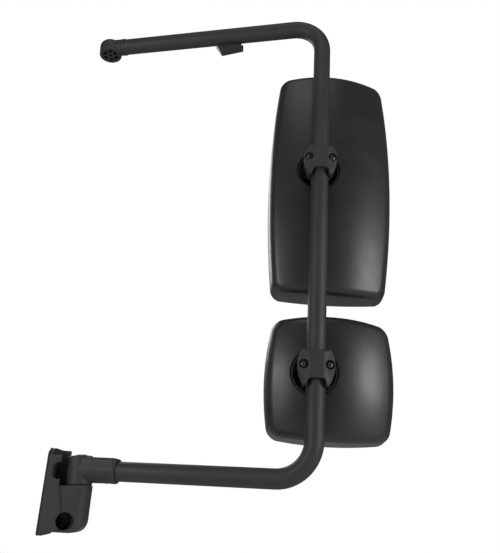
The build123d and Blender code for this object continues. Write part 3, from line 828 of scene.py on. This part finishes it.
# ------------------------------------------------------------------ heads
class Head:
    """Sizes of one head, read from its CAD boxes and kept in the swivel's frame."""

    def __init__(self, name):
        shape = HEADS[name]
        low, high = (Vector(v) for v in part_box(name + "_housing"))
        origin = head_frame(name).translation
        center = (low + high) / 2 - origin
        self.name = name
        self.x, self.z = center.x / MM, center.z / MM
        self.half_w = (high.x - low.x) / 2 / MM
        self.half_h = (high.z - low.z) / 2 / MM
        self.back = (low.y - origin.y) / MM
        self.mouth = (high.y - origin.y) / MM
        self.rim = self.mouth + BEZEL_T
        self.bow = shape["bow"]
        self.corner = shape["corner"]
        self.crown = shape["crown"]
        self.ridge = shape["ridge"]
        self.edge = shape["edge"]
        self.curve = shape["curve"]
        self.frame = head_frame(name)
        self.body = name + "_head"
        self.outline, self.normals = self.trace()

    def trace(self):
        """Evenly spaced points round the outline, and their outward normals."""
        r = self.corner
        w, h = self.half_w, self.half_h
        raw = []
        for sx, sz, start in ((1, 1, 0), (-1, 1, 90), (-1, -1, 180), (1, -1, 270)):
            raw += arc_points(sx * (w - r), sz * (h - r), r, start, start + 90, 14)
        dense = []
        for i, a in enumerate(raw):
            b = raw[(i + 1) % len(raw)]
            gap = hypot(b[0] - a[0], b[1] - a[1])
            steps = max(1, int(gap / 6.0))
            dense += [(a[0] + (b[0] - a[0]) * k / steps, a[1] + (b[1] - a[1]) * k / steps)
                      for k in range(steps)]
        bx, bz = self.bow
        shaped = [Vector((x - bx * (x / w) * (z / h) ** 2, z - bz * (z / h) * (x / w) ** 2))
                  for x, z in dense]
        normals = []
        for i in range(len(shaped)):
            t = shaped[(i + 1) % len(shaped)] - shaped[i - 1]
            normals.append(Vector((t.y, -t.x)).normalized())
        return shaped, normals

    def ring(self, inset):
        """The outline moved in by that distance."""
        return [p - n * inset for p, n in zip(self.outline, self.normals)]

    def place(self, p, y):
        """A point of the face at that depth, seen from the swivel."""
        return (p.x + self.x, y, p.y + self.z)

    def dome(self, p):
        """Depth of the domed back at a point of the face."""
        across, along = self.crown
        sag = across - sqrt(across ** 2 - (p.x + self.ridge) ** 2)
        return self.back + along - sqrt((along - sag) ** 2 - p.y ** 2)

    def on_dome(self, points, fall=0.0):
        """Points of the face laid on the dome, or that far in from it."""
        return [self.place(p, self.dome(p) + fall) for p in points]


def shell_side(head):
    """Rings up the shell's straight side, from its mouth to where the rounding starts."""
    steps = 6
    rings = [[head.place(p, head.mouth) for p in head.ring(inset)] for inset in (1.6, 0.0)]
    for k in range(1, steps):
        t = k / steps
        ring = []
        for p in head.ring(SHELL_DRAFT * t):
            start = head.dome(p) + head.edge
            ring.append(head.place(p, head.mouth + (start - head.mouth) * t))
        rings.append(ring)
    return rings


def shell_edge(head):
    """Rings round the edge between the straight side and the domed back."""
    steps = 14
    rings = []
    for k in range(steps + 1):
        a = pi / 2 * k / steps
        inset = SHELL_DRAFT + head.edge * (1 - cos(a))
        rings.append(head.on_dome(head.ring(inset), head.edge * (1 - sin(a))))
    return rings


def shell_back(head):
    """Rings over the dome to the dish's round opening, and in over its lip."""
    steps = 22
    outer = head.ring(SHELL_DRAFT + head.edge)
    hub = Vector((-head.x, -head.z))

    def circle(radius):
        return [hub + (p - hub).normalized() * radius for p in outer]

    rings = []
    opening = circle(DISH_R + 1.4)
    for k in range(1, steps + 1):
        between = [p.lerp(q, k / steps) for p, q in zip(outer, opening)]
        rings.append(head.on_dome(between))
    for radius, fall in ((0.9, 0.15), (0.5, 0.6), (0.4, 1.2), (0.4, 6.0)):
        rings.append(head.on_dome(circle(DISH_R + radius), fall))
    return rings


def housing(head):
    """Moulded shell: straight rim, rounded edge, domed back with a round opening."""
    rings = shell_side(head) + shell_edge(head) + shell_back(head)
    shell = loft(head.name + "_shell", rings, head.frame, caps=False)
    return piece(shell, head.body, "housing_plastic", [head.name + "_housing"], angle=60)


def bezel(head):
    """Frame round the glass: a fine seam to the shell, a rounded nose, an inner lip."""
    y0, y1 = head.mouth, head.rim
    profile = [(3.0, y0 + 0.1), (0.9, y0 + 0.1), (0.35, y0 + 0.5), (0.1, y0 + 1.0)]
    profile += [(r, y) for r, y in arc_points(1.6, y1 - 1.5, 1.5, 180, 90, 6)]
    profile += [(6.2, y1), (7.2, y1 - 0.4), (7.8, y1 - 1.4), (8.0, y0 + 0.2), (6.0, y0 + 0.1)]
    rings = [[head.place(p, y) for p in head.ring(inset)] for inset, y in profile]
    frame_ring = loft(head.name + "_frame", rings, head.frame, wrap=True)
    return piece(frame_ring, head.body, "bezel_plastic", [head.name + "_bezel"], angle=40)


def glass(head):
    """Flat or convex glass with a ground edge, under the bezel's lip."""
    def face_y(p, depth):
        if not head.curve:
            return head.mouth - depth
        return head.mouth - head.curve + sqrt((head.curve - depth) ** 2 - p.length_squared)

    inset = SHELL_T + 1.5
    steps = 14
    shrink = [1.0 - k / steps for k in range(steps)]
    rings = []
    for depth, trim, scales in ((3.0, 0.0, reversed(shrink)), (0.4, 0.0, [1.0]), (0.0, 0.5, shrink)):
        for scale in scales:
            points = [p * scale for p in head.ring(inset + trim)]
            rings.append([head.place(p, face_y(p, depth)) for p in points])
    pane = loft(head.name + "_pane", rings, head.frame)
    return piece(pane, head.body, "mirror_glass", [head.name + "_glass"], angle=30)


# ------------------------------------------------------------------ floor
def floor():
    """A plain pale floor, well below the object."""
    corners = [(FLOOR_X[0], FLOOR_Y[0], FLOOR_Z), (FLOOR_X[1], FLOOR_Y[0], FLOOR_Z),
               (FLOOR_X[1], FLOOR_Y[1], FLOOR_Z), (FLOOR_X[0], FLOOR_Y[1], FLOOR_Z)]
    plane = mesh_object("floor", corners, [(0, 1, 2, 3)], DOOR)
    g = Graph("pale_floor")
    g.set(Roughness=0.9, Emission_Color=(1, 1, 1, 1))
    g.link(g.mix(g.noise(3.0), (0.86, 0.86, 0.86), (0.88, 0.88, 0.88)), "Base Color")
    path = g.tree.nodes.new("ShaderNodeLightPath")
    glow = g.ramp(path.outputs["Is Camera Ray"], 0.0, FLOOR_GLOW, 0.0, 1.0)
    g.link(glow, "Emission Strength")
    plane.data.materials.append(g.material)


# ------------------------------------------------------------------ the whole scene
camera()
studio()
dress_nodes()
floor()
loop_tube()
fold_knuckle()
upper_boss()
boss_plug()
boss_collar()
tube_clip()
door_bracket()
for head_name in HEADS:
    clamp_cap(head_name)
    clamp_screws(head_name)
    shape = Head(head_name)
    housing(shape)
    bezel(shape)
    glass(shape)
